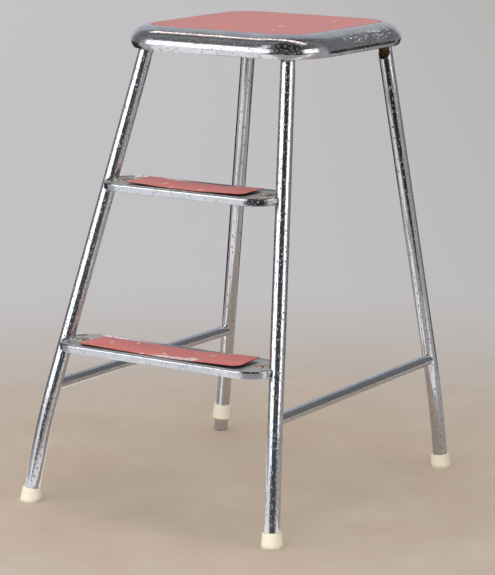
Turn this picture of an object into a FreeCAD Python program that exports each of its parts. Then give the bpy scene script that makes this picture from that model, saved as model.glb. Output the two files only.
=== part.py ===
"""Chromed steel step stool: a seat, two steps, four splayed legs and two side stretchers.

The frame of the model: +Z up, the floor at Z = 0, the steps towards -Y, +X to the right.
The origin lies on the floor, midway between the feet. All sizes are in millimetres.
"""
import FreeCAD, Part
import math
import os

from FreeCAD import Vector

os.makedirs("parts", exist_ok=True)

# ---------------------------------------------------------------- driving dimensions
TUBE_OD = 19.05            # leg tube, 3/4 inch
TUBE_WALL = 1.5
STRETCHER_OD = 15.2
STRETCHER_Z = 148.0        # centre line of both side stretchers

SEAT_HEIGHT = 600.0        # top of the seat inlay above the floor
SEAT_CENTRE_Y = 50.5
LINE_Z = 560.0             # the height at which the straight part of each leg is given

# Straight part of a leg: centre at LINE_Z, and where its line would reach the floor.
# Bend: how far inwards the curved lower part brings the foot, and where the curve begins.
LEG_ROWS = {
    "front": {
        "side": -1,
        "top": (106.5, 72.1),
        "floor": (186.8, 230.5),
        "inward": (5.4, 11.4),
        "bend_z": 153.0,
    },
    "rear": {
        "side": 1,
        "top": (104.8, 172.5),
        "floor": (179.8, 225.4),
        "inward": (3.5, 6.4),
        "bend_z": 140.0,
    },
}
TUBE_END_Z = 3.0           # the tubes stand on the bases of their ferrules
BARE_TUBE_END_Z = 0.0      # the rear left tube has gone through its ferrule
LEG_TOP_Z = 594.0
NOTCH_Z = 562.0            # above this, only the outer part of the tube is left
NOTCH_RADIUS = 14.0
NOTCH_OFFSET = 2.1         # of the cut face from the centre line of the tube
NOTCH_HEIGHT = 60.0        # the cut runs past the top of the tube
OVERRUN = 20.0             # how far cutting tools and bars run past what they cut
SPAN = 800.0               # cutting boxes are this wide, wider than the stool
CURVE_OVERRUN = 1.2        # the curved part is made this much longer before it is cut level

# Seat pan: the outline of the inlay, and the rolled skirt outside it
SHEET = 1.2                # pressed steel sheet of pan and trays
INLAY_HALF_X = 117.2
INLAY_HALF_Y = 120.5
INLAY_CORNER = 41.0
LINO = 2.0
SKIRT_WIDTH = 26.0         # from the edge of the recess to the widest line of the skirt
LIP_RADIUS = 1.2           # over the edge of the recess
SIDE_RADIUS = 14.0         # round the side of the skirt
SKIRT_DROP = 20.6          # from the top to the widest line
HEM_DROP = 28.6            # from the top to the lower edge
HEM_TUCK = 2.6             # the hem lies this far inside the widest line
HEM_LIP = 3.5              # flat turned-in lip
SEAT_RECESS = 2.0
FLOOR_OVERLAP = 4.0        # flat sheet that the rolled rim and the floor share
GAP = 0.6                  # round each inlay, inside its recess

# Steps: height of the linoleum, and its half length
STEPS = {
    "lower": {"z": 210.3, "inlay_half": 118.0},
    "upper": {"z": 410.3, "inlay_half": 86.0},
}
TRAY_HALF_DEPTH = 38.0
TRAY_FORWARD = 3.0         # the tray's middle lies this far in front of the legs
TRAY_CORNER = 36.0
TRAY_HEIGHT = 10.5
TRAY_ROLL = 3.2            # radius over the top edge
TRAY_RECESS = 1.2
TRAY_LIP = 4.5             # depth of the turned-in lower lip
TRAY_RIM_BEVEL = 0.6       # inner edge of the rolled rim
TRAY_RIM_SOFT = 0.25
TRAY_WELL_EDGE = 2.0       # width of the slope from the rim down to the recess
TRAY_FLOOR_REACH = 8.0     # how far in from the outer face the rim's sheet goes
TRAY_FLOOR_INSET = 7.0     # of the flat floor, which overlaps the rim's sheet
LINO_PROUD = 0.8           # the step inlays stand this much above the tray's rim
STEP_INLAY_HALF_DEPTH = 27.0
STEP_INLAY_CORNER = 3.0
TRAY_CLEARANCE = 0.4       # between the tray's notches and the legs

# Brackets, lugs and fasteners
BRACKET_THICK = 2.0
BRACKET_WIDTH = 17.0
BRACKET_LEAF = 30.0        # length of the leaf along the leg
BRACKET_FOOT = 30.0        # length of the leaf under the pan
RIVET_SHANK = 4.8
RIVET_HEAD = 8.0
RIVET_PLACES = (11.0, 23.0)  # distances from the leaf of the bracket
RIVET_TAIL = 6.8           # diameter of the domed tail
RIVET_DOME = 2.0           # its height
LEAF_ABOVE = 4.0           # the leaf is cut off by the pan
LUG_WIDTH = 16.0
LUG_THICK = 2.5
LUG_REACH = 34.0           # from the centre of the leg
LUG_END_RADIUS = 7.5       # of the inner end's corners
SCREW_INBOARD = 23.0       # from the centre of the leg
SCREW_SHANK = 4.8
SCREW_HEAD = 8.6
SCREW_HEAD_HEIGHT = 2.4
SLOT_WIDTH = 1.1
SLOT_DEPTH = 1.0
SLOT_TURN = 40.0           # degrees, plus or minus SLOT_SPREAD at the two ends
SLOT_SPREAD = 25.0
SCREW_END = 1.0            # the shank stands out below its nut
NUT_FLATS = 8.0
NUT_HEIGHT = 4.0
NUT_CLEARANCE = 0.05
HOLE_CLEARANCE = 0.3

# Ferrules
FERRULE_HEIGHT = 20.0
FERRULE_BASE_OD = 26.8
FERRULE_TOP_OD = 24.2
SLID_FERRULE_Z = 18.4      # lower edge of the one that has slid up
FERRULE_WORN = 2.2         # worn or pressed away on the floor, at the middle of the base
EDGE = 1.2                 # softened edges of the rubber

Z_AXIS = Vector(0, 0, 1)
UPRIGHT = 0.9              # an edge is upright if its direction's Z part is over this


# ---------------------------------------------------------------- drawing and export
def export(shape, name):
    """Write one node, after checking that each of its solids is sound."""
    for solid in shape.Solids:
        if not solid.isValid() or solid.Volume <= 0:
            raise RuntimeError("bad solid in " + name)
    shape.exportStep("parts/" + name + ".step")
    box = shape.optimalBoundingBox(False)
    sizes = (box.XMin, box.XMax, box.YMin, box.YMax, box.ZMin, box.ZMax)
    line_start = "%-26s %d  %8.0f mm3  " % (name, len(shape.Solids), shape.Volume)
    print(line_start + " ".join("%7.1f" % v for v in sizes))


def cylinder(radius, start, end):
    """A round bar from one point to another."""
    run = end - start
    return Part.makeCylinder(radius, run.Length, start, run)


def line(a, b):
    """A straight edge between two (across, up) points of a section, in the plane Y = 0."""
    return Part.makeLine(Vector(a[0], 0, a[1]), Vector(b[0], 0, b[1]))


def arc(a, mid, b):
    """An arc through three (across, up) points of a section."""
    points = [Vector(p[0], 0, p[1]) for p in (a, mid, b)]
    return Part.Arc(*points).toShape()


def arc_about(centre, radius, start_deg, end_deg):
    """A circular arc of a section, given by its centre and its start and end angle."""
    points = []
    for degrees in (start_deg, (start_deg + end_deg) / 2, end_deg):
        angle = math.radians(degrees)
        points.append((centre[0] + radius * math.cos(angle), centre[1] + radius * math.sin(angle)))
    return arc(*points)


def rim(section, half_x, half_y, corner):
    """Carry a section round a rounded rectangle.

    The section is drawn in the plane Y = 0, with X = 0 on the rectangle and +X outwards.
    """
    pieces = []
    straight_x = half_x - corner
    straight_y = half_y - corner
    for turn in range(4):
        if turn % 2 == 0:
            reach, length, across = half_x, straight_y, straight_x
        else:
            reach, length, across = half_y, straight_x, straight_y
        side = section.copy()
        side.translate(Vector(reach, -length, 0))
        side = side.extrude(Vector(0, 2 * length, 0))
        bend = section.copy()
        bend.translate(Vector(reach, length, 0))
        bend = bend.revolve(Vector(across, length, 0), Z_AXIS, 90)
        for piece in (side, bend):
            piece.rotate(Vector(0, 0, 0), Z_AXIS, 90 * turn)
            pieces.append(piece)
    whole = pieces[0].fuse(pieces[1:])
    return whole.removeSplitter()


def rounded_plate(half_x, half_y, corner, bottom, top):
    """A flat plate with rounded corners."""
    plate = Part.makeBox(2 * half_x, 2 * half_y, top - bottom, Vector(-half_x, -half_y, bottom))
    uprights = [e for e in plate.Edges if abs(e.tangentAt(e.FirstParameter).z) > UPRIGHT]
    return plate.makeFillet(corner, uprights)


# ---------------------------------------------------------------- legs
def leg_frame(row, sign):
    """The straight line of a leg, as a point at LINE_Z and the direction down it."""
    data = LEG_ROWS[row]
    top = Vector(sign * data["top"][0], data["side"] * data["top"][1], LINE_Z)
    floor = Vector(sign * data["floor"][0], data["side"] * data["floor"][1], 0)
    return top, (floor - top).normalize()


def leg_centre(row, sign, z):
    """The centre of the straight part of a leg at a height."""
    top, down = leg_frame(row, sign)
    return top + down * ((LINE_Z - z) / -down.z)


def leg_bend(row, sign):
    """Where a leg's curve begins, and its centre, turning axis, radius and angle."""
    data = LEG_ROWS[row]
    down = leg_frame(row, sign)[1]
    start = leg_centre(row, sign, data["bend_z"])
    inward = Vector(-sign * data["inward"][0], -data["side"] * data["inward"][1], 0)
    inward = inward - down * inward.dot(down)
    run = data["bend_z"] / -down.z
    radius = run * run / (2 * inward.Length)
    normal = inward.normalize()
    return start, start + normal * radius, down.cross(normal), radius, run / radius


def leg_foot(row, sign, height):
    """A point on the curved centre line near the floor, and the direction down there."""
    start, centre, axis, _, angle = leg_bend(row, sign)
    down = leg_frame(row, sign)[1]
    low, high = 0.0, angle * CURVE_OVERRUN
    for _ in range(40):    # halves the range each time, so 40 are plenty
        middle = (low + high) / 2
        turn = FreeCAD.Rotation(axis, math.degrees(middle))
        point = centre + turn.multVec(start - centre)
        if point.z > height:
            low = middle
        else:
            high = middle
    return point, turn.multVec(down)


def leg_solid(row, sign, radius, end_z):
    """A round bar along a leg's centre line, cut level at both ends."""
    down = leg_frame(row, sign)[1]
    start, centre, axis, _, angle = leg_bend(row, sign)
    high = leg_centre(row, sign, LEG_TOP_Z + OVERRUN)
    bar = cylinder(radius, high, start)
    disc = Part.Face(Part.Wire(Part.makeCircle(radius, start, down)))
    curve = disc.revolve(centre, axis, math.degrees(angle) * CURVE_OVERRUN)
    bar = bar.fuse(curve).removeSplitter()
    keep = Part.makeBox(SPAN, SPAN, LEG_TOP_Z - end_z, Vector(-SPAN / 2, -SPAN / 2, end_z))
    return bar.common(keep)


def notch_frame(row, sign):
    """Origin, upward, inward and sideways directions of the cut at the top of a leg."""
    up = leg_frame(row, sign)[1] * -1
    inward = Vector(0, -LEG_ROWS[row]["side"], 0)
    inward = (inward - up * inward.dot(up)).normalize()
    return leg_centre(row, sign, NOTCH_Z), up, inward, up.cross(inward)


def local_box(row, sign, size, corner):
    """A box in the frame of a leg's notch: sideways, inwards and up."""
    origin, up, inward, sideways = notch_frame(row, sign)
    box = Part.makeBox(size[0], size[1], size[2], Vector(*corner))
    matrix = FreeCAD.Matrix(
        sideways.x, inward.x, up.x, origin.x,
        sideways.y, inward.y, up.y, origin.y,
        sideways.z, inward.z, up.z, origin.z,
        0, 0, 0, 1)
    return box.transformed(matrix)


def leg(row, sign, end_z):
    """One leg tube, open at both ends, its top sawn away on the inner side."""
    bore = leg_solid(row, sign, TUBE_OD / 2 - TUBE_WALL, end_z)
    tube = leg_solid(row, sign, TUBE_OD / 2, end_z).cut(bore)
    origin, _, inward, sideways = notch_frame(row, sign)
    middle = origin + inward * (NOTCH_OFFSET + NOTCH_RADIUS)
    saw = cylinder(NOTCH_RADIUS, middle - sideways * OVERRUN, middle + sideways * OVERRUN)
    above = local_box(row, sign, (2 * OVERRUN, 2 * NOTCH_RADIUS, NOTCH_HEIGHT), (-OVERRUN, NOTCH_OFFSET, 0))
    return tube.cut(saw.fuse(above))


# ---------------------------------------------------------------- seat
def skirt_section():
    """The pan's sheet, cut across: recess, rolled skirt, hem and lip. X = 0 is the recess's edge.

    The roll is three tangent arcs: a wide one over the top, a tighter one round the side, and the tuck.
    """
    t = SHEET
    top = SEAT_HEIGHT
    floor = top - SEAT_RECESS
    hem = top - HEM_DROP
    widest = top - SKIRT_DROP
    across = SKIRT_WIDTH - LIP_RADIUS
    side_x = across - SIDE_RADIUS
    # the wide arc is tangent to the recess's lip and to the side arc
    top_radius = (side_x ** 2 + SKIRT_DROP ** 2 - SIDE_RADIUS ** 2) / (2 * (SKIRT_DROP - SIDE_RADIUS))
    top_centre = (LIP_RADIUS, top - top_radius)
    side_centre = (LIP_RADIUS + side_x, widest)
    join = math.degrees(math.atan2(widest - top_centre[1], side_x))
    # the tuck runs from the widest line in to the hem
    drop = widest - hem
    tuck_radius = (HEM_TUCK ** 2 + drop ** 2) / (2 * HEM_TUCK)
    tuck_centre = (SKIRT_WIDTH - tuck_radius, widest)
    hem_angle = -math.degrees(math.asin(drop / tuck_radius))
    in_angle = -math.degrees(math.asin((drop - t) / (tuck_radius - t)))
    hem_x = tuck_centre[0] + tuck_radius * math.cos(math.radians(hem_angle))
    in_x = tuck_centre[0] + (tuck_radius - t) * math.cos(math.radians(in_angle))
    outer = [
        line((-FLOOR_OVERLAP, floor), (0, floor)),
        line((0, floor), (0, top - LIP_RADIUS)),
        arc_about((LIP_RADIUS, top - LIP_RADIUS), LIP_RADIUS, 180, 90),
        arc_about(top_centre, top_radius, 90, join),
        arc_about(side_centre, SIDE_RADIUS, join, 0),
        arc_about(tuck_centre, tuck_radius, 0, hem_angle),
    ]
    inner = [
        line((hem_x, hem), (hem_x - HEM_LIP, hem)),
        line((hem_x - HEM_LIP, hem), (hem_x - HEM_LIP, hem + t)),
        line((hem_x - HEM_LIP, hem + t), (in_x, hem + t)),
        arc_about(tuck_centre, tuck_radius - t, in_angle, 0),
        arc_about(side_centre, SIDE_RADIUS - t, 0, join),
        arc_about(top_centre, top_radius - t, join, 90),
        line((LIP_RADIUS, top - t), (LIP_RADIUS, floor - t)),
        line((LIP_RADIUS, floor - t), (-FLOOR_OVERLAP, floor - t)),
        line((-FLOOR_OVERLAP, floor - t), (-FLOOR_OVERLAP, floor)),
    ]
    return Part.Face(Part.Wire(outer + inner))


def rivet_places():
    """Centres of the rivets that hold the seat brackets, seen from above."""
    places = []
    for row in LEG_ROWS:
        for sign in (-1, 1):
            centre = bracket_centre(row, sign)
            for along in RIVET_PLACES:
                places.append(Vector(centre.x, centre.y - LEG_ROWS[row]["side"] * along, 0))
    return places


def bracket_centre(row, sign):
    """Where the leaf of a seat bracket meets the pan."""
    origin, up, inward, _ = notch_frame(row, sign)
    under = SEAT_HEIGHT - SEAT_RECESS - SHEET
    point = origin + inward * NOTCH_OFFSET
    return point + up * ((under - point.z) / up.z)


def seat_pan():
    """The pressed pan: a flat recessed floor inside the rolled skirt, with rivet holes."""
    top = SEAT_HEIGHT
    skirt = rim(skirt_section(), INLAY_HALF_X, INLAY_HALF_Y, INLAY_CORNER)
    inset = FLOOR_OVERLAP / 2
    floor = rounded_plate(INLAY_HALF_X - inset, INLAY_HALF_Y - inset, INLAY_CORNER - inset,
                          top - SEAT_RECESS - SHEET, top - SEAT_RECESS)
    pan = skirt.fuse(floor).removeSplitter()
    pan.translate(Vector(0, SEAT_CENTRE_Y, 0))
    under = top - SEAT_RECESS - SHEET
    for place in rivet_places():
        sink = Part.makeCone(RIVET_SHANK / 2, RIVET_HEAD / 2, SHEET, Vector(place.x, place.y, under))
        pan = pan.cut(sink)
    return pan


def seat_inlay():
    """Linoleum sheet that fills the recess of the pan, flush with the skirt."""
    half = INLAY_HALF_X - GAP
    plate = rounded_plate(half, INLAY_HALF_Y - GAP, INLAY_CORNER - GAP,
                          SEAT_HEIGHT - SEAT_RECESS, SEAT_HEIGHT - SEAT_RECESS + LINO)
    plate.translate(Vector(0, SEAT_CENTRE_Y, 0))
    return plate


def seat_bracket(row, sign):
    """Bent steel strap: one leaf welded across the sawn top of a leg, one under the pan."""
    under = SEAT_HEIGHT - SEAT_RECESS - SHEET
    side = LEG_ROWS[row]["side"]
    centre = bracket_centre(row, sign)
    origin, up = notch_frame(row, sign)[:2]
    reach = (under - origin.z) / up.z
    leaf = local_box(row, sign, (BRACKET_WIDTH, BRACKET_THICK, BRACKET_LEAF),
                     (-BRACKET_WIDTH / 2, NOTCH_OFFSET, reach - BRACKET_LEAF + LEAF_ABOVE))
    foot_y = centre.y if side < 0 else centre.y - BRACKET_FOOT
    foot = Part.makeBox(BRACKET_WIDTH, BRACKET_FOOT, BRACKET_THICK,
                        Vector(centre.x - BRACKET_WIDTH / 2, foot_y, under - BRACKET_THICK))
    below = Part.makeBox(SPAN, SPAN, under, Vector(-SPAN / 2, -SPAN / 2, 0))
    strap = leaf.common(below).fuse(foot).removeSplitter()
    for place in rivet_places():
        hole = Part.makeCylinder(RIVET_SHANK / 2, OVERRUN, Vector(place.x, place.y, under - OVERRUN / 2))
        strap = strap.cut(hole)
    return strap


def seat_rivets():
    """Flat-head rivets: head flush in the pan's floor, shank through the bracket, domed tail."""
    rivets = []
    under = SEAT_HEIGHT - SEAT_RECESS - SHEET
    tail = under - BRACKET_THICK
    dome = RIVET_DOME
    ball_radius = (RIVET_TAIL * RIVET_TAIL / 4 + dome * dome) / (2 * dome)
    for place in rivet_places():
        base = Vector(place.x, place.y, tail)
        head = Part.makeCone(RIVET_SHANK / 2, RIVET_HEAD / 2, SHEET, Vector(place.x, place.y, under))
        shank = Part.makeCylinder(RIVET_SHANK / 2, BRACKET_THICK, base)
        ball = Part.makeSphere(ball_radius, base + Vector(0, 0, ball_radius - dome))
        cap = ball.common(Part.makeCylinder(RIVET_TAIL, 2 * dome, base - Vector(0, 0, 2 * dome)))
        rivets.append(head.fuse([shank, cap]).removeSplitter())
    return Part.makeCompound(rivets)


# ---------------------------------------------------------------- steps
def step_place(step):
    """Half length of a tray, height of its rim and where the legs' centres lie in Y."""
    rim_z = STEPS[step]["z"] - LINO_PROUD
    centre = leg_centre("front", 1, rim_z)
    return centre.x, rim_z, centre.y


def tray_section(rim_z):
    """The tray's sheet, cut across: recess edge, rolled rim, flange and lip. X = 0 is the outer face."""
    t = SHEET
    floor = rim_z - TRAY_RECESS
    low = rim_z - TRAY_HEIGHT
    roll = TRAY_ROLL
    in_roll = roll - t
    lip = TRAY_LIP
    reach = TRAY_FLOOR_REACH
    well = roll + TRAY_WELL_EDGE
    bevel = roll + TRAY_RIM_BEVEL
    half = math.sqrt(0.5)
    edges = [
        line((-reach, floor), (-well, floor)),
        line((-well, floor), (-bevel, rim_z - TRAY_RIM_SOFT)),
        line((-bevel, rim_z - TRAY_RIM_SOFT), (-roll, rim_z)),
        arc((-roll, rim_z), (-roll + roll * half, rim_z - roll + roll * half), (0, rim_z - roll)),
        line((0, rim_z - roll), (0, low + t)),
        arc((0, low + t), (-t + t * half, low + t - t * half), (-t, low)),
        line((-t, low), (-lip, low)),
        line((-lip, low), (-lip, low + t)),
        line((-lip, low + t), (-t, low + t)),
        line((-t, low + t), (-t, rim_z - roll)),
        arc((-t, rim_z - roll), (-roll + in_roll * half, rim_z - roll + in_roll * half), (-roll, rim_z - t)),
        line((-roll, rim_z - t), (-well, floor - t)),
        line((-well, floor - t), (-reach, floor - t)),
        line((-reach, floor - t), (-reach, floor)),
    ]
    return Part.Face(Part.Wire(edges))


def step_tray(step):
    """One pressed tray: recessed floor, rolled rim and flange, notched round both front legs."""
    half_x, rim_z, leg_y = step_place(step)
    rim_part = rim(tray_section(rim_z), half_x, TRAY_HALF_DEPTH, TRAY_CORNER)
    inset = TRAY_FLOOR_INSET
    floor = rounded_plate(half_x - inset, TRAY_HALF_DEPTH - inset, TRAY_CORNER - inset,
                          rim_z - TRAY_RECESS - SHEET, rim_z - TRAY_RECESS)
    tray = rim_part.fuse(floor).removeSplitter()
    tray.translate(Vector(0, leg_y - TRAY_FORWARD, 0))
    for sign in (-1, 1):
        leg_bar = cylinder(TUBE_OD / 2 + TRAY_CLEARANCE, leg_centre("front", sign, rim_z - 2 * OVERRUN),
                           leg_centre("front", sign, rim_z + 2 * OVERRUN))
        hole = Part.makeCylinder(SCREW_SHANK / 2 + HOLE_CLEARANCE, OVERRUN,
                                 Vector(sign * (half_x - SCREW_INBOARD), leg_y, rim_z - OVERRUN / 2))
        tray = tray.cut(leg_bar.fuse(hole))
    return tray


def step_inlay(step):
    """Linoleum strip lying in the tray, a little proud of its rim."""
    _, rim_z, leg_y = step_place(step)
    bottom = rim_z - TRAY_RECESS
    half_length = STEPS[step]["inlay_half"]
    plate = rounded_plate(half_length, STEP_INLAY_HALF_DEPTH, STEP_INLAY_CORNER, bottom, bottom + LINO)
    plate.translate(Vector(0, leg_y - TRAY_FORWARD, 0))
    return plate


def step_lug(step, sign):
    """Steel strap welded to the leg's inner side, on which the end of a tray is screwed down."""
    half_x, rim_z, leg_y = step_place(step)
    top = rim_z - TRAY_RECESS - SHEET
    centre_x = half_x - LUG_REACH / 2
    strap = Part.makeBox(LUG_REACH, LUG_WIDTH, LUG_THICK,
                         Vector(centre_x - LUG_REACH / 2, leg_y - LUG_WIDTH / 2, top - LUG_THICK))
    inner = [e for e in strap.Edges
             if abs(e.tangentAt(e.FirstParameter).z) > UPRIGHT and e.CenterOfMass.x < centre_x]
    strap = strap.makeFillet(LUG_END_RADIUS, inner)
    hole = Part.makeCylinder(SCREW_SHANK / 2 + HOLE_CLEARANCE, OVERRUN,
                             Vector(half_x - SCREW_INBOARD, leg_y, top - OVERRUN / 2))
    strap = strap.cut(hole)
    leg_bar = cylinder(TUBE_OD / 2, leg_centre("front", 1, rim_z - 2 * OVERRUN),
                       leg_centre("front", 1, rim_z + 2 * OVERRUN))
    strap = strap.cut(leg_bar).Solids[0]
    if sign < 0:
        strap = strap.mirror(Vector(0, 0, 0), Vector(1, 0, 0))
    return strap


def step_screws(step):
    """Two slotted round-head screws, one at each end of a tray."""
    half_x, rim_z, leg_y = step_place(step)
    seat = rim_z - TRAY_RECESS
    screws = []
    for sign in (-1, 1):
        base = Vector(sign * (half_x - SCREW_INBOARD), leg_y, seat)
        radius = (SCREW_HEAD * SCREW_HEAD / 4 + SCREW_HEAD_HEIGHT ** 2) / (2 * SCREW_HEAD_HEIGHT)
        ball = Part.makeSphere(radius, base + Vector(0, 0, SCREW_HEAD_HEIGHT - radius))
        head = ball.common(Part.makeCylinder(SCREW_HEAD / 2, 2 * SCREW_HEAD_HEIGHT, base))
        slot_corner = base + Vector(-SCREW_HEAD, -SLOT_WIDTH / 2, SCREW_HEAD_HEIGHT - SLOT_DEPTH)
        slot = Part.makeBox(2 * SCREW_HEAD, SLOT_WIDTH, 2 * SLOT_DEPTH, slot_corner)
        slot.rotate(base, Z_AXIS, SLOT_SPREAD * sign + SLOT_TURN)
        length = SHEET + LUG_THICK + NUT_HEIGHT + SCREW_END
        shank = Part.makeCylinder(SCREW_SHANK / 2, length, base - Vector(0, 0, length))
        screws.append(head.cut(slot).fuse(shank).removeSplitter())
    return Part.makeCompound(screws)


def step_nuts(step):
    """Hexagon nuts under the lugs."""
    half_x, rim_z, leg_y = step_place(step)
    top = rim_z - TRAY_RECESS - SHEET - LUG_THICK
    nuts = []
    for sign in (-1, 1):
        centre = Vector(sign * (half_x - SCREW_INBOARD), leg_y, top - NUT_HEIGHT)
        corners = []
        for i in range(7):
            angle = math.radians(60 * i + 30)
            corner = Vector(math.cos(angle), math.sin(angle), 0) * (NUT_FLATS / math.sqrt(3))
            corners.append(centre + corner)
        block = Part.Face(Part.makePolygon(corners)).extrude(Vector(0, 0, NUT_HEIGHT))
        bore = Part.makeCylinder(SCREW_SHANK / 2 + NUT_CLEARANCE, NUT_HEIGHT, centre)
        nuts.append(block.cut(bore))
    return Part.makeCompound(nuts)


# ---------------------------------------------------------------- stretchers and feet
def stretcher(sign):
    """Side tube between a front and a rear leg, its ends coped to fit them."""
    ends = [leg_centre(row, sign, STRETCHER_Z) for row in ("front", "rear")]
    tube = cylinder(STRETCHER_OD / 2, *ends).cut(cylinder(STRETCHER_OD / 2 - TUBE_WALL, *ends))
    for row in ("front", "rear"):
        tube = tube.cut(leg_solid(row, sign, TUBE_OD / 2, 0.0))
    return max(tube.Solids, key=lambda solid: solid.Volume)


def rubber_form():
    """The ferrule's outer form as a solid, from its base at Z = 0 upwards."""
    low = FERRULE_BASE_OD / 2
    high = FERRULE_TOP_OD / 2
    top = FERRULE_HEIGHT
    e = EDGE
    bulge = e * math.sqrt(0.5)
    outline = [
        line((0, 0), (low - e, 0)),
        arc((low - e, 0), (low - e + bulge, e - bulge), (low, e)),
        line((low, e), (high, top - e)),
        arc((high, top - e), (high - e + bulge, top - e + bulge), (high - e, top)),
        line((high - e, top), (0, top)),
        line((0, top), (0, 0)),
    ]
    return Part.Face(Part.Wire(outline)).revolve(Vector(0, 0, 0), Z_AXIS, 360)


def ferrule(row, sign, slid):
    """Rubber ferrule, square to its tube. A standing one is worn flat on the floor."""
    point, down = leg_foot(row, sign, SLID_FERRULE_Z if slid else 0.0)
    form = rubber_form()
    if not slid:
        form.translate(Vector(0, 0, -FERRULE_WORN))
    turn = FreeCAD.Rotation(Vector(0, 0, -1), down)
    form = form.transformed(FreeCAD.Placement(point, turn).toMatrix())
    above_floor = Part.makeBox(SPAN, SPAN, LEG_TOP_Z, Vector(-SPAN / 2, -SPAN / 2, 0))
    tube_end = BARE_TUBE_END_Z if slid else TUBE_END_Z
    return form.common(above_floor).cut(leg_solid(row, sign, TUBE_OD / 2, tube_end))


# ---------------------------------------------------------------- build
CORNERS = {
    "front_left": ("front", -1),
    "front_right": ("front", 1),
    "rear_left": ("rear", -1),
    "rear_right": ("rear", 1),
}
SIDES = (("left", -1), ("right", 1))

export(seat_pan(), "seat_pan")
export(seat_inlay(), "seat_inlay")
export(seat_rivets(), "seat_rivets")
for corner_name, (row_name, side_sign) in CORNERS.items():
    slid = corner_name == "rear_left"
    export(leg(row_name, side_sign, BARE_TUBE_END_Z if slid else TUBE_END_Z), "leg_" + corner_name)
    export(seat_bracket(row_name, side_sign), "seat_bracket_" + corner_name)
    export(ferrule(row_name, side_sign, slid), "ferrule_" + corner_name)
for side_name, side_sign in SIDES:
    export(stretcher(side_sign), "stretcher_" + side_name)
for step_name in STEPS:
    export(step_tray(step_name), "step_tray_" + step_name)
    export(step_inlay(step_name), "step_inlay_" + step_name)
    export(step_screws(step_name), "step_screws_" + step_name)
    export(step_nuts(step_name), "step_nuts_" + step_name)
    for side_name, side_sign in SIDES:
        export(step_lug(step_name, side_sign), "step_lug_" + step_name + "_" + side_name)
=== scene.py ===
import math
import random

import bpy
from mathutils import Matrix, Vector


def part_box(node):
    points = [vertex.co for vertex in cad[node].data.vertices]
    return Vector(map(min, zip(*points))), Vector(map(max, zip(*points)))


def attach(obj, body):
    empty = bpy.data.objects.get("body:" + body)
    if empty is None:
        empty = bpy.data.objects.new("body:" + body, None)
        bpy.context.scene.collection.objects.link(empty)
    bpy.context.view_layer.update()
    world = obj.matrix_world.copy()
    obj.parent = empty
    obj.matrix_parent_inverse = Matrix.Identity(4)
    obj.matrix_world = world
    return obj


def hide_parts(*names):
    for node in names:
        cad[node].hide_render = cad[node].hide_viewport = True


# A chromed steel step stool with red linoleum treads, in a plain studio.
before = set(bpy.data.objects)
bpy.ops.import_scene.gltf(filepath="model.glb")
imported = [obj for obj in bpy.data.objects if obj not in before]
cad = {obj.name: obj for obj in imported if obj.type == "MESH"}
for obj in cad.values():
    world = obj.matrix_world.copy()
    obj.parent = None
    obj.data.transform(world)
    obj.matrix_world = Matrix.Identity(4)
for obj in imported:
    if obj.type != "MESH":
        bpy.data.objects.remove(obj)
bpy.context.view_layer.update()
scene = bpy.context.scene
scene.view_settings.view_transform = "Standard"

# ---------------------------------------------------------------------------------------------
# The camera: a long lens a little over three metres away, above the seat and to the right of
# the treads, looking down by 11 degrees.
camera_place = Vector((1.7619, -2.7764, 0.9287))
camera_turn = math.radians(32.325)
camera_pitch = math.radians(11.466)
camera_roll = math.radians(0.448)
FILM_LONG_SIDE = 36.0
LENS = 162.75

ahead = Vector((-math.sin(camera_turn) * math.cos(camera_pitch),
                math.cos(camera_turn) * math.cos(camera_pitch),
                -math.sin(camera_pitch)))
level = Vector((math.cos(camera_turn), math.sin(camera_turn), 0))
upward = level.cross(ahead)
across = math.cos(camera_roll) * level + math.sin(camera_roll) * upward
rise = math.cos(camera_roll) * upward - math.sin(camera_roll) * level
camera_data = bpy.data.cameras.new("camera")
camera_data.sensor_width = FILM_LONG_SIDE
camera_data.lens = LENS
camera_data.clip_end = 60.0
camera = bpy.data.objects.new("camera", camera_data)
turn = Matrix((across, rise, -ahead)).transposed()
camera.matrix_world = Matrix.Translation(camera_place) @ turn.to_4x4()
scene.collection.objects.link(camera)
scene.camera = camera

# ---------------------------------------------------------------------------------------------
# The studio floor: a sheet of pale, matt vinyl, warm where the stool stands and fading to a
# neutral grey further out. It is walked on, so its colour is a little cloudy.
MM = 1000.0


def linear(hex_colour):
    """An sRGB hex colour as the linear RGBA that a shader takes."""
    channels = [int(hex_colour[i:i + 2], 16) / 255 for i in (1, 3, 5)]
    return tuple(c / 12.92 if c <= 0.04045 else ((c + 0.055) / 1.055) ** 2.4 for c in channels) + (1.0,)


def add(tree, kind, inputs=None, stops=(), **settings):
    """Adds a shader node. inputs gives each named input a value, an output socket, or a node whose
    first output it takes. stops gives a colour ramp its (position, hex colour or grey) pairs."""
    made = tree.nodes.new("ShaderNode" + kind)
    for key, value in settings.items():
        setattr(made, key, value)
    for key, value in (inputs or {}).items():
        socket = made.inputs[key]
        if isinstance(value, bpy.types.Node):
            value = value.outputs[0]
        if isinstance(value, bpy.types.NodeSocket):
            tree.links.new(value, socket)
        else:
            socket.default_value = value
    if stops:
        points = made.color_ramp.elements
        while len(points) < len(stops):
            points.new(0.5)
        for point, (position, colour) in zip(points, stops):
            point.position = position
            point.color = linear(colour) if isinstance(colour, str) else (colour, colour, colour, 1.0)
    return made


def new_material(name):
    """A material with an empty node tree and its output node."""
    material = bpy.data.materials.new(name)
    material.use_nodes = True
    material.node_tree.nodes.clear()
    return material, material.node_tree, material.node_tree.nodes.new("ShaderNodeOutputMaterial")


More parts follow.
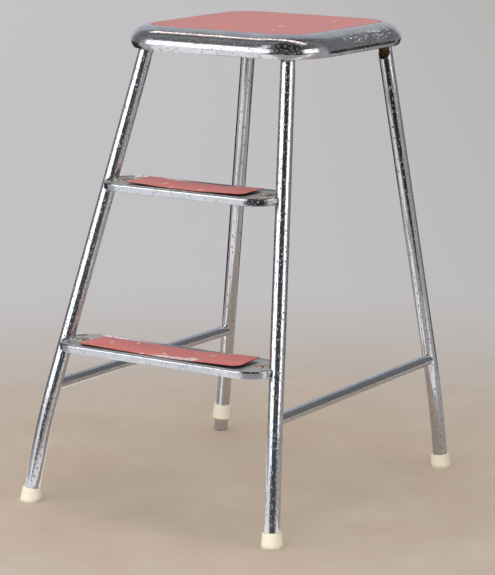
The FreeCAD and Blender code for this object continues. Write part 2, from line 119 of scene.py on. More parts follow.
def mesh_object(name, vertices, faces, material, smooth=True):
    """A new mesh object in the row frame."""
    data = bpy.data.meshes.new(name)
    data.from_pydata([tuple(v) for v in vertices], [], faces)
    data.update()
    for face in data.polygons:
        face.use_smooth = smooth
    data.materials.append(material)
    made = bpy.data.objects.new(name, data)
    scene.collection.objects.link(made)
    return made


FLOOR_RADIUS = 14.0
WARM_RADIUS = 0.20
GREY_RADIUS = 1.35
vinyl, tree, out = new_material("matt_vinyl_floor")
place = add(tree, "TexCoord").outputs["Object"]
radius = add(tree, "VectorMath", {0: place}, operation="LENGTH").outputs["Value"]
fade = add(tree, "MapRange", {"Value": radius, "From Min": WARM_RADIUS, "From Max": GREY_RADIUS},
           interpolation_type="SMOOTHSTEP")
cloud = add(tree, "TexNoise", {"Vector": place, "Scale": 7.0, "Detail": 6.0, "Roughness": 0.62})
grime_and_painted_glow = add(tree, "ValToRGB", {"Fac": cloud}, [(0.30, "#C4B2A1"), (0.52, "#CAB9A8"), (0.72, "#CFBFAF")])
grit = add(tree, "TexNoise", {"Vector": place, "Scale": 260.0, "Detail": 3.0})
grit_bump = add(tree, "Bump", {"Height": grit, "Strength": 0.15, "Distance": 0.0006})
# the vinyl's colour is dimmed and given back as a faint glow: painted light that lifts and softens the
# shadows on the near floor
dimmed = add(tree, "MixRGB", {"Fac": 1.0, "Color1": grime_and_painted_glow, "Color2": (0.60, 0.60, 0.60, 1.0)},
             blend_type="MULTIPLY")
near = add(tree, "BsdfPrincipled", {"Base Color": dimmed, "Roughness": 0.55, "Normal": grit_bump,
                                    "Emission Color": grime_and_painted_glow, "Emission Strength": 0.34,
                                    "Specular IOR Level": 0.0})
# the far floor glows as a grey backdrop, with painted shade: a shade darker towards the right
sidelong = add(tree, "VectorMath", {0: place, 1: level}, operation="DOT_PRODUCT").outputs["Value"]
shade = add(tree, "MapRange", {"Value": sidelong, "From Min": -0.9, "From Max": 0.9})
far_grey = add(tree, "ValToRGB", {"Fac": shade}, [(0.0, "#C5C3C5"), (0.5, "#C2C0C1"), (1.0, "#B8B6B4")])
far = add(tree, "Emission", {"Color": far_grey, "Strength": 1.0})
blend = add(tree, "MixShader", {"Fac": fade, 1: near, 2: far})
tree.links.new(blend.outputs["Shader"], out.inputs["Surface"])
rings, spokes = (0.0, 0.6, 1.2, 2.0, 4.0, 8.0, FLOOR_RADIUS), 64
floor_points = [Vector((r * math.cos(2 * math.pi * k / spokes), r * math.sin(2 * math.pi * k / spokes), 0))
                for r in rings[1:] for k in range(spokes)]
floor_faces = [tuple(range(spokes))]
for ring in range(len(rings) - 2):
    for k in range(spokes):
        a, b = ring * spokes + k, ring * spokes + (k + 1) % spokes
        floor_faces.append((a, a + spokes, b + spokes, b))
floor = mesh_object("studio_floor", floor_points, floor_faces, vinyl)

# ---------------------------------------------------------------------------------------------
# The studio light: a softbox at each side, a strip overhead, and three fills that the chrome
# doesn't mirror, in a dim room. Only reflections see the dark cloths and white cards round it.
front = Vector((math.sin(camera_turn), -math.cos(camera_turn), 0))


def around(degrees_right, distance, height):
    """A point at an angle to the right of the camera as seen from the stool."""
    angle = math.radians(degrees_right)
    return (math.cos(angle) * front + math.sin(angle) * level) * distance + Vector((0, 0, height))


def softbox(name, place, target, width, height, radiance, colour):
    """A rectangular area light with an even face that has the given radiance."""
    light = bpy.data.lights.new(name, "AREA")
    light.shape = "RECTANGLE"
    light.size = width
    light.size_y = height
    light.energy = radiance * width * height * math.pi
    light.color = linear(colour)[:3]
    box = bpy.data.objects.new(name, light)
    box.location = place
    box.rotation_euler = (target - place).to_track_quat("-Z", "Y").to_euler()
    scene.collection.objects.link(box)
    return box


softbox("left_softbox", around(-59, 1.45, 0.81), Vector((0, 0, 0.75)), 1.5, 0.95, 2.0, "#FFFFFF")
softbox("right_softbox", around(56, 2.2, 1.08), Vector((0, 0, 0.9)), 1.35, 1.1, 1.8, "#FFFAF5")
strip_place = Vector((-0.45, 0.21, 2.9))
strip = softbox("overhead_strip", strip_place, strip_place - Vector((0, 0, 1)), 3.8, 0.20, 4.0, "#FFE6DC")
strip.rotation_euler = (0, 0, 0)
fill = softbox("ceiling_bounce", Vector((0.2, -0.2, 3.2)), Vector((0, 0, 0)), 4.0, 4.0, 1.15, "#FFFFFF")
fill.visible_glossy = False
front_fill = softbox("front_fill", around(-15, 2.6, 1.0), Vector((0, 0, 0.3)), 2.2, 1.4, 1.7, "#FFFFFF")
front_fill.visible_glossy = False
low_fill = softbox("low_fill", around(-25, 2.1, 0.36), Vector((0, 0, 0.25)), 0.9, 0.5, 5.0, "#FFFFFF")
low_fill.visible_glossy = False

world = bpy.data.worlds.new("dim_studio")
world.use_nodes = True
scene.world = world
tree = world.node_tree
tree.nodes.clear()
out = tree.nodes.new("ShaderNodeOutputWorld")
heading = add(tree, "TexCoord").outputs["Generated"]
height = add(tree, "SeparateXYZ", {"Vector": heading}).outputs["Z"]
sideways = add(tree, "VectorMath", {0: heading, 1: (1.0, 1.0, 0.0)}, operation="MULTIPLY")
compass = add(tree, "VectorMath", {0: sideways}, operation="NORMALIZE")
facing = add(tree, "VectorMath", {0: compass, 1: front}, operation="DOT_PRODUCT").outputs["Value"]
turned = add(tree, "MapRange", {"Value": facing, "From Min": -1.0, "From Max": 1.0})
room = add(tree, "ValToRGB", {"Fac": turned}, [(0.0, "#C9CBD0"), (0.06, "#C4C6CB"), (0.10, 0.25),
                                               (0.18, 0.22), (0.34, 0.18), (0.46, 0.42), (0.80, 0.42),
                                               (0.93, 0.09), (1.0, 0.09)])
# by height, the pale backdrop behind goes up to 65 degrees, and the front is dimmest from 30 to 60
back_wall = add(tree, "ValToRGB", {"Fac": height}, [(0.0, 1.0), (0.88, 0.80), (0.93, 0.22), (1.0, 0.22)])
front_room = add(tree, "ValToRGB", {"Fac": height}, [(0.0, 1.0), (0.35, 1.0), (0.52, 0.35), (0.85, 0.35),
                                                     (0.95, 0.75), (1.0, 0.6)])
ahead_share = add(tree, "ValToRGB", {"Fac": turned}, [(0.40, 0.0), (0.60, 1.0)])
above = add(tree, "MixRGB", {"Fac": ahead_share, "Color1": back_wall, "Color2": front_room})
lit = add(tree, "MixRGB", {"Fac": 1.0, "Color1": room, "Color2": above}, blend_type="MULTIPLY")
glow = add(tree, "Background", {"Color": lit, "Strength": 1.0})
tree.links.new(glow.outputs["Background"], out.inputs["Surface"])

dark_cloth, tree, out = new_material("black_floor_cloth")
weave = add(tree, "TexNoise", {"Scale": 300.0})
black = add(tree, "ValToRGB", {"Fac": weave}, [(0.3, "#1D1B1A"), (0.7, "#2A2826")])
cloth = add(tree, "BsdfPrincipled", {"Base Color": black, "Roughness": 0.9})
tree.links.new(cloth.outputs["BSDF"], out.inputs["Surface"])
white_card, tree, out = new_material("white_reflector_card")
card = add(tree, "Emission", {"Color": linear("#FCFAF8"), "Strength": 1.2})
tree.links.new(card.outputs["Emission"], out.inputs["Surface"])


def reflected_piece(name, points, faces, material):
    """A studio piece that only reflections see."""
    piece = mesh_object(name, points, faces, material)
    piece.visible_camera = False
    piece.visible_diffuse = False
    piece.visible_shadow = False


def floor_sector(name, centre, from_degrees, to_degrees, near_edge, far_edge, height, material):
    """A ring-shaped piece of sheet lying on the floor."""
    steps = max(2, int((to_degrees - from_degrees) / 5))
    points = [centre + around(from_degrees + (to_degrees - from_degrees) * k / steps, distance, height)
              for distance in (near_edge, far_edge) for k in range(steps + 1)]
    faces = [(k, k + steps + 1, k + steps + 2, k + 1) for k in range(steps)]
    reflected_piece(name, points, faces, material)


# after its middle, each sheet has its two angles, its near and far edge, and its height
middle_of_floor = Vector((0, 0, 0))
floor_sector("front_dark_cloth", middle_of_floor, -40, 40, 1.5, 9.0, 0.002, dark_cloth)
floor_sector("right_dark_cloth", middle_of_floor, 132, 156, 0.9, 9.0, 0.002, dark_cloth)
floor_sector("side_dark_cloth", middle_of_floor, 106, 124, 1.5, 9.0, 0.002, dark_cloth)
floor_sector("left_dark_cloth", middle_of_floor, -156, -112, 0.9, 9.0, 0.002, dark_cloth)
# white cards run out from the feet of three legs, whose tubes show them as narrow bright lines
floor_sector("card_from_rear_left", Vector((-0.17, 0.21, 0)), -67, -29, 0.05, 1.55, 0.003, white_card)
floor_sector("card_from_rear_right", Vector((0.17, 0.21, 0)), -62, -33, 0.40, 1.60, 0.004, white_card)
floor_sector("card_from_front_left", Vector((-0.17, -0.21, 0)), 55, 67, 0.30, 2.30, 0.003, white_card)
# two cards stand upright at the left: their lower and upper edges, and the angles of their sides
CARD_DISTANCE = 1.45
STANDING_CARDS = {"left_low_card": ((0.01, 0.34), (-74, -46)), "left_tall_card": ((1.28, 2.60), (-63, -40))}
for name, (edges, sides) in STANDING_CARDS.items():
    corners = [around(angle, CARD_DISTANCE, height) for height in edges for angle in sides]
    reflected_piece(name, corners, [(0, 1, 3, 2)], white_card)

# ---------------------------------------------------------------------------------------------
# The legs and their side stretchers: drawn steel tube, polished and plated with nickel and
# chrome. The bright plate is full of fine pits, a few of them rusty, and rubbed dull in places.


def chrome_plate(name, haze=0.5, pits=0.5, speckle=0.3, streak=(1.0, 1.0, 1.0),
                 bright="#D3D6DC", dull="#BCBFC5", extra=None):
    """Bright chrome over nickel on steel. haze, pits and speckle are how worn it is, and streak stretches it.

    extra(tree, place, colour, roughness, metallic) may put a finish of its own on top.
    """
    material, tree, out = new_material(name)
    place = add(tree, "TexCoord").outputs["Object"]
    drawn = add(tree, "VectorMath", {0: place, 1: streak}, operation="MULTIPLY")
    # clouds of fine dull scuffing, 30 mm across
    clouds = add(tree, "TexNoise", {"Vector": drawn, "Scale": MM / 30, "Detail": 5.0, "Roughness": 0.6})
    # pits are 0.3 mm across; drawn here 1 mm across and 2.6 mm apart, coarser, so that they show
    pit_cells = add(tree, "TexVoronoi", {"Vector": drawn, "Scale": MM / 2.6, "Randomness": 1.0})
    pit_zone = add(tree, "TexNoise", {"Vector": place, "Scale": MM / 14, "Detail": 4.0, "Roughness": 0.7})
    zone = add(tree, "ValToRGB", {"Fac": pit_zone}, [(0.42 - 0.12 * pits, 0.0), (0.66 - 0.12 * pits, 1.0)])
    pit_dots = add(tree, "ValToRGB", {"Fac": pit_cells}, [(0.10, 1.0), (0.30, 0.0)])
    pit = add(tree, "Math", {0: pit_dots, 1: zone}, operation="MULTIPLY")
    # a few of the pits have rusted, and stain the plate round them
    rust_zone = add(tree, "TexNoise", {"Vector": place, "Scale": MM / 23, "Detail": 8.0, "Roughness": 0.75})
    rust = add(tree, "ValToRGB", {"Fac": rust_zone}, [(0.66, 0.0), (0.74, 1.0)])
    grain = add(tree, "TexNoise", {"Vector": drawn, "Scale": MM / 1.6, "Detail": 2.0, "Roughness": 0.6})
    # the plate is a little wavy, from the polishing wheel
    wave = add(tree, "TexNoise", {"Vector": drawn, "Scale": MM / 12, "Detail": 2.0})
    plate = add(tree, "ValToRGB", {"Fac": clouds}, [(0.30, bright), (0.70, dull)])
    pitted = add(tree, "MixRGB", {"Fac": pit, "Color1": plate, "Color2": linear("#5A5550")})
    spot = add(tree, "Math", {0: pit, 1: rust}, operation="MULTIPLY")
    colour = add(tree, "MixRGB", {"Fac": spot, "Color1": pitted, "Color2": linear("#7A4A2E")})
    dulled = add(tree, "MapRange", {"Value": clouds, "From Min": 0.35, "From Max": 0.75, "To Min": 0.05,
                                    "To Max": 0.05 + 0.26 * haze})
    specks = add(tree, "ValToRGB", {"Fac": grain}, [(0.50, 0.0), (0.72, 1.0)])
    grained = add(tree, "Math", {0: specks, 1: 0.55 * speckle, 2: dulled}, operation="MULTIPLY_ADD")
    roughness = add(tree, "Math", {0: pit, 1: 0.35, 2: grained}, operation="MULTIPLY_ADD")
    metallic = 1.0
    if extra:
        colour, roughness, metallic = extra(tree, place, colour, roughness, metallic)
    wavy = add(tree, "Bump", {"Height": wave, "Strength": 0.35, "Distance": 0.0004})
    grainy = add(tree, "Bump", {"Height": grain, "Strength": 0.9 * speckle, "Distance": 0.0003,
                                "Normal": wavy})
    pitted_bump = add(tree, "Bump", {"Height": pit, "Strength": 0.9, "Distance": 0.0004, "Normal": grainy},
                      invert=True)
    shader = add(tree, "BsdfPrincipled", {"Base Color": colour, "Metallic": metallic,
                                          "Roughness": roughness, "Normal": pitted_bump})
    tree.links.new(shader.outputs["BSDF"], out.inputs["Surface"])
    return material


def finish_with(name, material):
    """Gives a CAD node its material, in every slot that it has."""
    data = cad[name].data
    for index in range(len(data.materials)):
        data.materials[index] = material


CORNERS = ("front_left", "front_right", "rear_left", "rear_right")
SIDES = ("left", "right")
# the straight part of each leg's axis: half spacing at 560 mm up and where it would meet the floor
AXIS_TOP_HEIGHT = 0.560
LEG_AXES = {"front": ((0.1065, -0.0721), (0.1868, -0.2305)), "rear": ((0.1048, 0.1725), (0.1798, 0.2254))}
BORE_RADIUS = 0.0088
BORE_SEEN_ABOVE = 0.45


def rusty_bore(row, side):
    """Gives the inside of a leg's tube bare rusty steel: it was never plated."""
    mirror = -1 if side == "left" else 1
    (top_x, top_y), (foot_x, foot_y) = LEG_AXES[row]
    top = Vector((mirror * top_x, top_y, AXIS_TOP_HEIGHT))
    along = (Vector((mirror * foot_x, foot_y, 0)) - top).normalized()

    def inside(tree, place, colour, roughness, metallic):
        from_top = add(tree, "VectorMath", {0: place, 1: top}, operation="SUBTRACT")
        swept = add(tree, "VectorMath", {0: from_top, 1: along}, operation="CROSS_PRODUCT")
        off_axis = add(tree, "VectorMath", {0: swept}, operation="LENGTH").outputs["Value"]
        level_up = add(tree, "SeparateXYZ", {"Vector": place}).outputs["Z"]
        upper = add(tree, "Math", {0: level_up, 1: BORE_SEEN_ABOVE}, operation="GREATER_THAN")
        near_axis = add(tree, "Math", {0: off_axis, 1: BORE_RADIUS}, operation="LESS_THAN")
        bore = add(tree, "Math", {0: upper, 1: near_axis}, operation="MULTIPLY")
        scale = add(tree, "TexNoise", {"Vector": place, "Scale": MM / 5, "Detail": 6.0})
        rust = add(tree, "ValToRGB", {"Fac": scale}, [(0.35, "#4A3A22"), (0.60, "#6B5534"),
                                                      (0.75, "#2E2416")])
        colour = add(tree, "MixRGB", {"Fac": bore, "Color1": colour, "Color2": rust})
        roughness = add(tree, "Mix", {"Factor": bore, "A": roughness, "B": 0.75})
        metallic = add(tree, "Mix", {"Factor": bore, "A": metallic, "B": 0.15})
        return colour, roughness, metallic

    return inside


for corner in CORNERS:
    row, side = corner.split("_")
    haze, speckle = {"rear_left": (0.75, 0.05), "rear_right": (0.5, 0.15)}.get(corner, (0.35, 0.45))
    finish_with("leg_" + corner, chrome_plate("pitted_chrome_leg_" + corner, haze, 0.65, speckle,
                                              streak=(1.0, 1.0, 0.35), extra=rusty_bore(row, side)))
stretcher_chrome = chrome_plate("pitted_chrome_stretcher", haze=0.4, pits=0.5, speckle=0.05,
                                streak=(1.0, 0.35, 1.0))
for side in SIDES:
    finish_with("stretcher_" + side, stretcher_chrome)

# ---------------------------------------------------------------------------------------------
# The seat: one steel pressing with a rolled skirt, chromed like the tubes. Its skirt has caught
# the most knocks, so it is the most pitted and scuffed.
SCUFF_MIDDLE = (0.141, 0.075, 0.590)
SCUFF_REACH = (0.020, 0.085, 0.0085)


def side_scuffs(tree, place, colour, roughness, metallic):
    """White scuff marks along the seat's right-hand side, where it has been leaned against walls."""
    offset = add(tree, "VectorMath", {0: place, 1: SCUFF_MIDDLE}, operation="SUBTRACT")
    scaled = add(tree, "VectorMath", {0: offset, 1: SCUFF_REACH}, operation="DIVIDE")
    reach = add(tree, "VectorMath", {0: scaled}, operation="LENGTH").outputs["Value"]
    zone = add(tree, "ValToRGB", {"Fac": reach}, [(0.5, 1.0), (1.0, 0.0)])
    # the marks are drawn out along the side: 8 mm of noise along it to 2.7 mm up it
    drawn = add(tree, "VectorMath", {0: place, 1: (1.0, 0.45, 1.3)}, operation="MULTIPLY")
    marks = add(tree, "TexNoise", {"Vector": drawn, "Scale": MM / 3.5, "Detail": 5.0, "Roughness": 0.7})
    mark = add(tree, "ValToRGB", {"Fac": marks}, [(0.56, 0.0), (0.60, 1.0)])
    scuff = add(tree, "Math", {0: mark, 1: zone}, operation="MULTIPLY")
    colour = add(tree, "MixRGB", {"Fac": scuff, "Color1": colour, "Color2": linear("#F2F2F2")})
    roughness = add(tree, "Mix", {"Factor": scuff, "A": roughness, "B": 0.6})
    metallic = add(tree, "Math", {0: metallic, 1: scuff}, operation="SUBTRACT")
    return colour, roughness, metallic


seat_chrome = chrome_plate("scuffed_chrome_seat", haze=0.2, pits=0.9, speckle=0.35, extra=side_scuffs)
finish_with("seat_pan", seat_chrome)

# ---------------------------------------------------------------------------------------------
# The treads: shallow chromed pressings, screwed to lugs on the front legs. Rust from the screws
# has bloomed under the plate round their ends.

SCREW_HEAD_RADIUS = 0.0043
END_RUST_AND_REFLECTION_REACH = 0.030


def rust_bloom(step):
    """Rust that has crept out from under each screw of a tread; its ends, where they meet the legs, are rusty
    and carry a painted reflection of the legs.
    """
    tray_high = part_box("step_tray_" + step)[1]
    screw_low, screw_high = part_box("step_screws_" + step)
    screw_x = screw_high.x - SCREW_HEAD_RADIUS
    screw_y = (screw_low.y + screw_high.y) / 2

    def bloomed(tree, place, colour, roughness, metallic):
        mirrored = add(tree, "VectorMath", {0: place}, operation="ABSOLUTE")
        across_tread = add(tree, "SeparateXYZ", {"Vector": mirrored}).outputs["X"]
        along_tread = add(tree, "SeparateXYZ", {"Vector": place}).outputs["Y"]
        spot = add(tree, "CombineXYZ", {"X": across_tread, "Y": along_tread})
        off = add(tree, "VectorMath", {0: spot, 1: (screw_x, screw_y, 0)},
                  operation="DISTANCE").outputs["Value"]
        crust = add(tree, "TexNoise", {"Vector": place, "Scale": MM / 5, "Detail": 4.0, "Roughness": 0.6})
        # the crust of rust reaches 7 to 14 mm from the screw's middle, raggedly
        reach = add(tree, "MapRange", {"Value": off, "From Min": 0.003, "From Max": 0.015, "To Min": 0.60,
                                       "To Max": 0.0})
        rusty = add(tree, "Math", {0: crust, 1: reach}, operation="ADD")
        rusty = add(tree, "ValToRGB", {"Fac": rusty}, [(0.68, 0.0), (0.76, 1.0)])
        # what faces up is painted lighter, a painted highlight, and made rougher
        normal = add(tree, "TexCoord").outputs["Normal"]
        facing_up = add(tree, "SeparateXYZ", {"Vector": normal}).outputs["Z"]
        facing_up_painted_highlight = add(tree, "MapRange", {"Value": facing_up, "From Min": 0.80, "From Max": 0.98})
        colour = add(tree, "MixRGB", {"Fac": facing_up_painted_highlight, "Color1": colour, "Color2": linear("#D9DADB")})
        roughness = add(tree, "Mix", {"Factor": facing_up_painted_highlight, "A": roughness, "B": 0.42})
        # at each end, near the leg, a patchy dark stain: partly rust, partly a painted reflection of the leg
        # and painted shade at the joint
        end = add(tree, "MapRange", {"Value": across_tread, "From Min": tray_high.x - END_RUST_AND_REFLECTION_REACH,
                                     "From Max": tray_high.x})
        patchy = add(tree, "Math", {0: crust, 1: end}, operation="MULTIPLY")
        rust_and_painted_reflection = add(tree, "ValToRGB", {"Fac": patchy}, [(0.42, 0.0), (0.62, 0.8)])
        rust = add(tree, "Math", {0: rusty, 1: rust_and_painted_reflection}, operation="MAXIMUM")
        brown = add(tree, "ValToRGB", {"Fac": crust}, [(0.44, "#120C08"), (0.48, "#4A2E1A"),
                                                       (0.53, "#7A5430"), (0.55, "#E6DCC4"),
                                                       (0.62, "#F4ECD8")])
        colour = add(tree, "MixRGB", {"Fac": rust, "Color1": colour, "Color2": brown})
        roughness = add(tree, "Mix", {"Factor": rust, "A": roughness, "B": 0.7})
        metallic = add(tree, "Mix", {"Factor": rust, "A": metallic, "B": 0.1})
        return colour, roughness, metallic

    return bloomed


for step in ("lower", "upper"):
    finish_with("step_tray_" + step, chrome_plate("rust_bloomed_chrome_" + step, 0.6, 0.8, 0.4,
                                                  bright="#C6CAD1", dull="#B0B4BB", extra=rust_bloom(step)))

# ---------------------------------------------------------------------------------------------
# The insets: sheets of red linoleum, glued down in the seat's recess and on the treads. They are
# matt and faintly marbled, rubbed pale and nicked.


def linoleum(name, base, dark, light, rubs):
    """Calendered linoleum. rubs lists where it is rubbed pale: (x, y, half width, half depth)."""
    material, tree, out = new_material(name)
    place = add(tree, "TexCoord").outputs["Object"]
    marble = add(tree, "TexNoise", {"Vector": place, "Scale": MM / 30, "Detail": 8.0, "Roughness": 0.68,
                                    "Distortion": 0.8})
    colour = add(tree, "ValToRGB", {"Fac": marble}, [(0.32, dark), (0.50, base), (0.68, light)])
    # cork and wood flour in the sheet, 0.5 mm; drawn here at 1.4 mm
    grain = add(tree, "TexNoise", {"Vector": place, "Scale": MM / 1.4, "Detail": 3.0, "Roughness": 0.7})
    flecks = add(tree, "ValToRGB", {"Fac": grain}, [(0.35, 0.78), (0.62, 1.0)])
    colour = add(tree, "MixRGB", {"Fac": 0.6, "Color1": colour, "Color2": flecks}, blend_type="MULTIPLY")
    # small pale nicks, about one every 25 mm
    cells = add(tree, "TexVoronoi", {"Vector": place, "Scale": MM / 17})
    drawn_lot = add(tree, "SeparateXYZ", {"Vector": cells.outputs["Color"]}).outputs["X"]
    chosen = add(tree, "ValToRGB", {"Fac": drawn_lot}, [(0.52, 0.0), (0.56, 1.0)])
    dot = add(tree, "ValToRGB", {"Fac": cells.outputs["Distance"]}, [(0.035, 1.0), (0.085, 0.0)])
    pale = add(tree, "Math", {0: dot, 1: chosen}, operation="MULTIPLY")
    worn = add(tree, "TexNoise", {"Vector": place, "Scale": MM / 5, "Detail": 7.0, "Roughness": 0.75})
    torn = add(tree, "ValToRGB", {"Fac": worn}, [(0.43, 0.0), (0.50, 1.0)])
    for x, y, half_x, half_y in rubs:
        offset = add(tree, "VectorMath", {0: place, 1: (x, y, 0)}, operation="SUBTRACT")
        scaled = add(tree, "VectorMath", {0: offset, 1: (1 / half_x, 1 / half_y, 0)}, operation="MULTIPLY")
        reach = add(tree, "VectorMath", {0: scaled}, operation="LENGTH").outputs["Value"]
        zone = add(tree, "ValToRGB", {"Fac": reach}, [(0.55, 1.0), (1.0, 0.0)])
        rub = add(tree, "Math", {0: zone, 1: torn}, operation="MULTIPLY")
        pale = add(tree, "Math", {0: pale, 1: rub}, operation="MAXIMUM")
    colour = add(tree, "MixRGB", {"Fac": pale, "Color1": colour, "Color2": linear("#F3E9E0")})
    rough = add(tree, "MapRange", {"Value": marble, "From Min": 0.3, "From Max": 0.7, "To Min": 0.34,
                                   "To Max": 0.46})
    nicked = add(tree, "Bump", {"Height": pale, "Strength": 0.4, "Distance": 0.0003}, invert=True)
    bump = add(tree, "Bump", {"Height": grain, "Strength": 0.3, "Distance": 0.0003, "Normal": nicked})
    shader = add(tree, "BsdfPrincipled", {"Base Color": colour, "Roughness": rough, "Normal": bump})
    tree.links.new(shader.outputs["BSDF"], out.inputs["Surface"])
    return material


TREAD_REDS = ("#E17066", "#D3625A", "#E98177")
SEAT_REDS = ("#D37A73", "#C86E68", "#DC8A83")
SEAT_RUBS = ((0.0635, 0.1097, 0.003, 0.007), (0.0397, 0.0184, 0.005, 0.006), (0.054, -0.024, 0.003, 0.005))
finish_with("seat_inlay", linoleum("red_linoleum_seat", *SEAT_REDS, SEAT_RUBS))

# The treads' sheets have worn thin and come unstuck at both ends, where they curl up, so the tarred jute on
# their backs shows as a dark line, its near-black colour partly painted shade along the sheets' edges; the
# lower one's front edge is torn pale by shoes.
SHEET_THICK = 0.0011
EDGE_EASE = 0.0002
FRONT_CORNER = 0.011
OTHER_CORNER = 0.002
# how far each corner lifts: (front, rear) at the left and at the right end
CURLS = {
    "upper": {-1: (0.0021, 0.0017), 1: (0.0020, 0.0022)},
    "lower": {-1: (0.0014, 0.0003), 1: (0.0024, 0.0037)},
}
CURL_START = 0.15
KNIFE_STOPS = 64
KNIFE_WANDER = 0.00022
# the sheet lies in slow ripples, 90 mm long one way and 70 mm the other
RIPPLE = 0.00012
RIPPLE_ALONG = 70
RIPPLE_ACROSS = 90
jute, tree, out = new_material("tarred_jute_backing")
place = add(tree, "TexCoord").outputs["Object"]
weave = add(tree, "TexNoise", {"Vector": place, "Scale": MM / 1.5, "Detail": 3.0})
tar_and_painted_edge_shade = add(tree, "ValToRGB", {"Fac": weave}, [(0.35, "#241A16"), (0.65, "#4A352B")])
woven = add(tree, "Bump", {"Height": weave, "Strength": 0.5, "Distance": 0.0003})
back = add(tree, "BsdfPrincipled", {"Base Color": tar_and_painted_edge_shade, "Roughness": 0.9, "Normal": woven})
tree.links.new(back.outputs["BSDF"], out.inputs["Surface"])


def tread_sheet(step, material):
    """A tread's linoleum as a thin sheet with curled ends."""
    low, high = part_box("step_inlay_" + step)
    columns, rows = 120, 30
    half = (high - low) / 2
    middle = (high + low) / 2
    flat_top = low.z + SHEET_THICK
    rng = random.Random(11)
    ragged = [rng.uniform(-1, 1) for k in range(KNIFE_STOPS)]
    top, bottom = [], []
    for row in range(rows + 1):
        for column in range(columns + 1):
            x = (2 * column / columns - 1) * half.x
            y = (2 * row / rows - 1) * half.y
            # rounded corners, the front right one the most
            corner = FRONT_CORNER if x > 0 and y < 0 else OTHER_CORNER
            over_x, over_y = max(0.0, abs(x) - half.x + corner), max(0.0, abs(y) - half.y + corner)
            if over_x and over_y:
                inward = max(over_x, over_y) / math.hypot(over_x, over_y)
                x = math.copysign(half.x - corner + over_x * inward, x)
                y = math.copysign(half.y - corner + over_y * inward, y)
            # the knife did not run quite straight
            run = (x / half.x + 1) * (KNIFE_STOPS / 2 - 1)
            before, after = ragged[int(run) % KNIFE_STOPS], ragged[(int(run) + 1) % KNIFE_STOPS]
            wander = before * (1 - run % 1) + after * (run % 1)
            y += wander * KNIFE_WANDER * (y / half.y) ** 5
            at_front, at_rear = CURLS[step][1 if x > 0 else -1]
            towards_front = 0.5 - 0.5 * y / half.y
            curl = at_front * towards_front + at_rear * (1 - towards_front)
            along = max(0.0, abs(x) / half.x - CURL_START) / (1 - CURL_START)
            lift = curl * (1 - math.cos(math.pi * along)) / 2
            lift += RIPPLE * math.sin(x * RIPPLE_ALONG + 1.3) * math.sin(y * RIPPLE_ACROSS)
            on_edge = row in (0, rows) or column in (0, columns)
            ease = EDGE_EASE if on_edge else 0.0
            top.append(Vector((middle.x + x, middle.y + y, flat_top + lift - ease)))
            bottom.append(Vector((middle.x + x, middle.y + y, low.z + lift + ease)))
    across_row = columns + 1
    count = len(top)
    faces = []
    for row in range(rows):
        for column in range(columns):
            a = row * across_row + column
            faces.append((a, a + 1, a + across_row + 1, a + across_row))
            faces.append((count + a, count + a + across_row, count + a + across_row + 1, count + a + 1))
    rim = [(row, 0) for row in range(rows, 0, -1)] + [(0, column) for column in range(columns)]
    rim += [(row, columns) for row in range(rows)] + [(rows, column) for column in range(columns, 0, -1)]
    ring = [row * across_row + column for row, column in rim]
    for here, there in zip(ring, ring[1:] + ring[:1]):
        faces.append((there, here, count + here, count + there))
    sheet = mesh_object("tread_linoleum_" + step, top + bottom, faces, material)
    sheet.data.materials.append(jute)
    for face in sheet.data.polygons:
        if any(index >= count for index in face.vertices):
            face.material_index = 1
    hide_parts("step_inlay_" + step)
    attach(sheet, "root")


# where the treads are rubbed or nicked pale: (x, distance from the front edge, half width, half depth)
TREAD_RUBS = {"upper": ((-0.041, 0.024, 0.003, 0.006), (0.02, 0.012, 0.004, 0.006),
                        (-0.02, 0.005, 0.002, 0.005)), "lower": ((0.022, 0.003, 0.036, 0.009),
                                                                 (0.0075, 0.004, 0.005, 0.011),
                                                                 (0.046, 0.006, 0.012, 0.012),
                                                                 (-0.023, 0.001, 0.003, 0.006),
                                                                 (-0.059, 0.047, 0.0025, 0.004),
                                                                 (-0.088, 0.031, 0.0025, 0.0045),
                                                                 (0.060, 0.035, 0.005, 0.005),
                                                                 (0.0, 0.018, 0.002, 0.004)), }
for step, rubs in TREAD_RUBS.items():
    low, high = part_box("step_inlay_" + step)
    placed = [(x, low.y + y, half_x, half_y) for x, y, half_x, half_y in rubs]
    tread_sheet(step, linoleum("red_linoleum_" + step, *TREAD_REDS, placed))

# ---------------------------------------------------------------------------------------------
# The fixings: plain steel brackets, lugs, rivets and nuts under the chrome, and round-headed
# screws in the treads that have rusted.


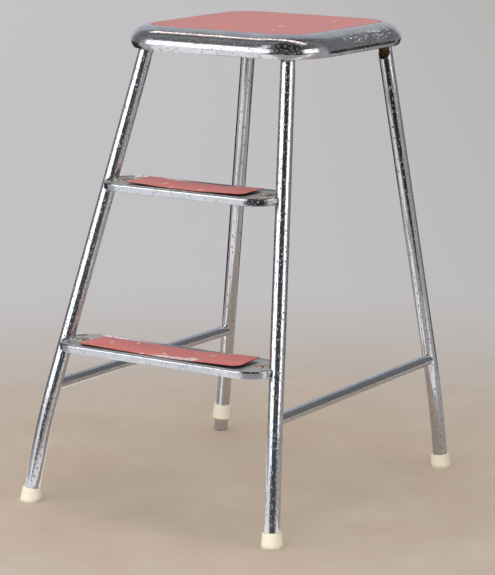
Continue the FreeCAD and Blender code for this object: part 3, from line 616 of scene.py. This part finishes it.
def old_steel(name, bare, rust, amount):
    """Bare mild steel with a share of it rusted."""
    material, tree, out = new_material(name)
    place = add(tree, "TexCoord").outputs["Object"]
    patches = add(tree, "TexNoise", {"Vector": place, "Scale": MM / 6, "Detail": 8.0, "Roughness": 0.7})
    rusted = add(tree, "ValToRGB", {"Fac": patches}, [(0.65 - 0.4 * amount, 0.0),
                                                      (0.80 - 0.4 * amount, 1.0)])
    colour = add(tree, "MixRGB", {"Fac": rusted, "Color1": linear(bare), "Color2": linear(rust)})
    metal = add(tree, "ValToRGB", {"Fac": rusted}, [(0.0, 1.0), (1.0, 0.1)])
    rough = add(tree, "ValToRGB", {"Fac": rusted}, [(0.0, 0.38), (1.0, 0.85)])
    bump = add(tree, "Bump", {"Height": patches, "Strength": 0.5, "Distance": 0.0004})
    shader = add(tree, "BsdfPrincipled", {"Base Color": colour, "Metallic": metal, "Roughness": rough,
                                          "Normal": bump})
    tree.links.new(shader.outputs["BSDF"], out.inputs["Surface"])
    return material


dull_steel = old_steel("dull_mild_steel", "#A39F9A", "#6E4A35", 0.25)
rusted_screw = old_steel("rusted_screw_steel", "#E4DAC4", "#3A2416", 0.47)
for part in cad:
    if part.startswith(("seat_bracket", "seat_rivets", "step_lug", "step_nuts")):
        finish_with(part, dull_steel)
    elif part.startswith("step_screws"):
        finish_with(part, rusted_screw)

# ---------------------------------------------------------------------------------------------
# The ferrules: moulded rubber, once white and now ivory, grimy at the foot.
rubber, tree, out = new_material("aged_ivory_rubber")
place = add(tree, "TexCoord").outputs["Object"]
foxing = add(tree, "TexNoise", {"Vector": place, "Scale": MM / 9, "Detail": 6.0, "Roughness": 0.65})
ivory = add(tree, "ValToRGB", {"Fac": foxing}, [(0.32, "#F3EBD2"), (0.55, "#FAF3DF"), (0.74, "#FCF7E8")])
level_up = add(tree, "SeparateXYZ", {"Vector": place}).outputs["Z"]
from_floor = add(tree, "MapRange", {"Value": level_up, "From Min": 0.0, "From Max": 0.02})
scuffed_foot = add(tree, "ValToRGB", {"Fac": from_floor}, [(0.0, 0.55), (0.25, 0.0)])
grimy = add(tree, "MixRGB", {"Fac": scuffed_foot, "Color1": ivory, "Color2": linear("#8F8069")})
skin = add(tree, "TexNoise", {"Vector": place, "Scale": MM / 1.2, "Detail": 3.0})
rubber_bump = add(tree, "Bump", {"Height": skin, "Strength": 0.2, "Distance": 0.0003})
shader = add(tree, "BsdfPrincipled", {"Base Color": grimy, "Roughness": 0.5, "Subsurface Weight": 0.15,
                                      "Subsurface Radius": (0.004, 0.003, 0.002), "Subsurface Scale": 1.0,
                                      "Normal": rubber_bump})
tree.links.new(shader.outputs["BSDF"], out.inputs["Surface"])
for corner in CORNERS:
    finish_with("ferrule_" + corner, rubber)
